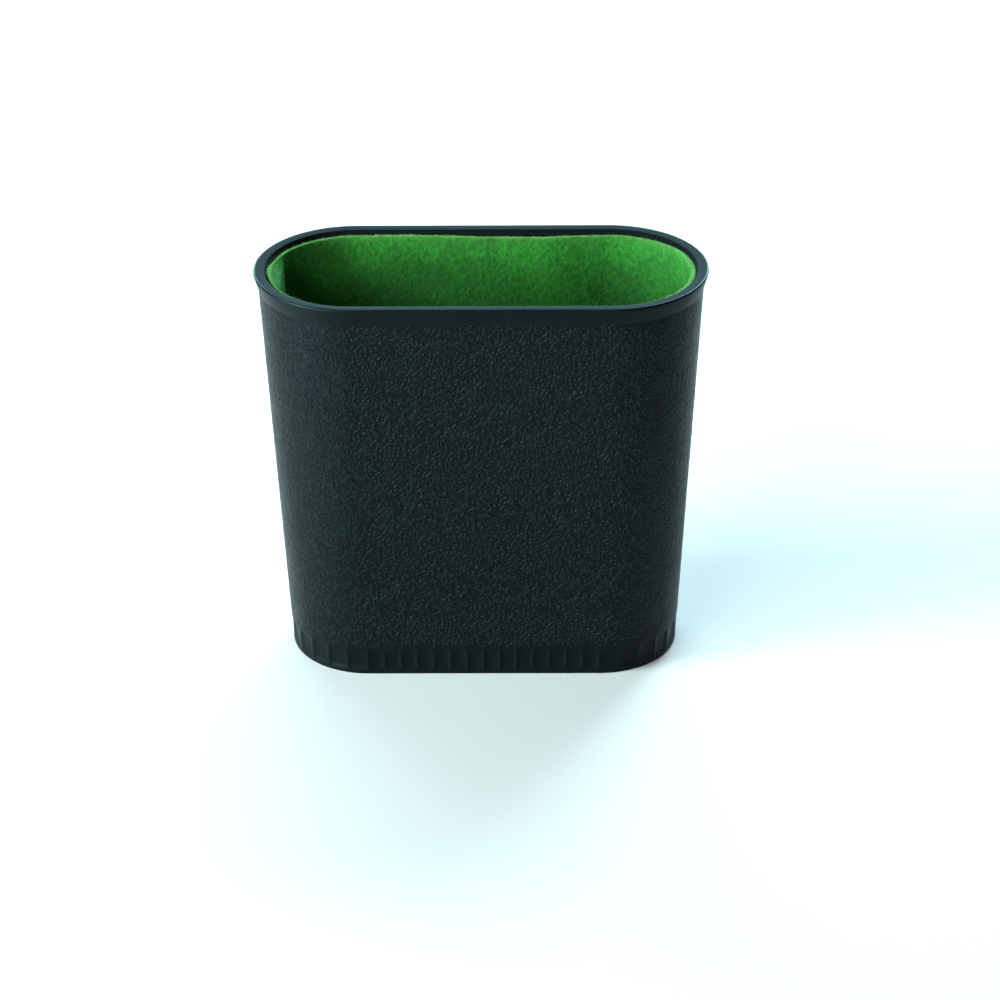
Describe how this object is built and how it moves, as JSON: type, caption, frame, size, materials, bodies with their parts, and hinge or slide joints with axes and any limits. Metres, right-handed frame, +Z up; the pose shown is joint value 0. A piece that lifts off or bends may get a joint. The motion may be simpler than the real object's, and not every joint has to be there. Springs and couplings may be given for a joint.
{
  "type": "oval dice cup",
  "caption": "Oval tapered dice cup with a leather-grain wall, a smooth flared mouth, a ribbed base band and a felt lining.",
  "frame": {"origin": "centre of the foot's underside, on the surface the cup stands on", "axes": "+X along the long side of the oval, +Y along the short side, +Z up through the mouth"},
  "size_m": [0.0802, 0.0352, 0.0755],
  "materials": {
    "shell": "satin black, leather grain on the wall",
    "card": "uncoated dark card",
    "felt": "napped green felt"
  },
  "bodies": {
    "root": {"cup_shell": "shell", "wall_backing": "card", "wall_felt": "felt", "floor_backing": "card", "floor_felt": "felt"}
  },
  "joints": []
}
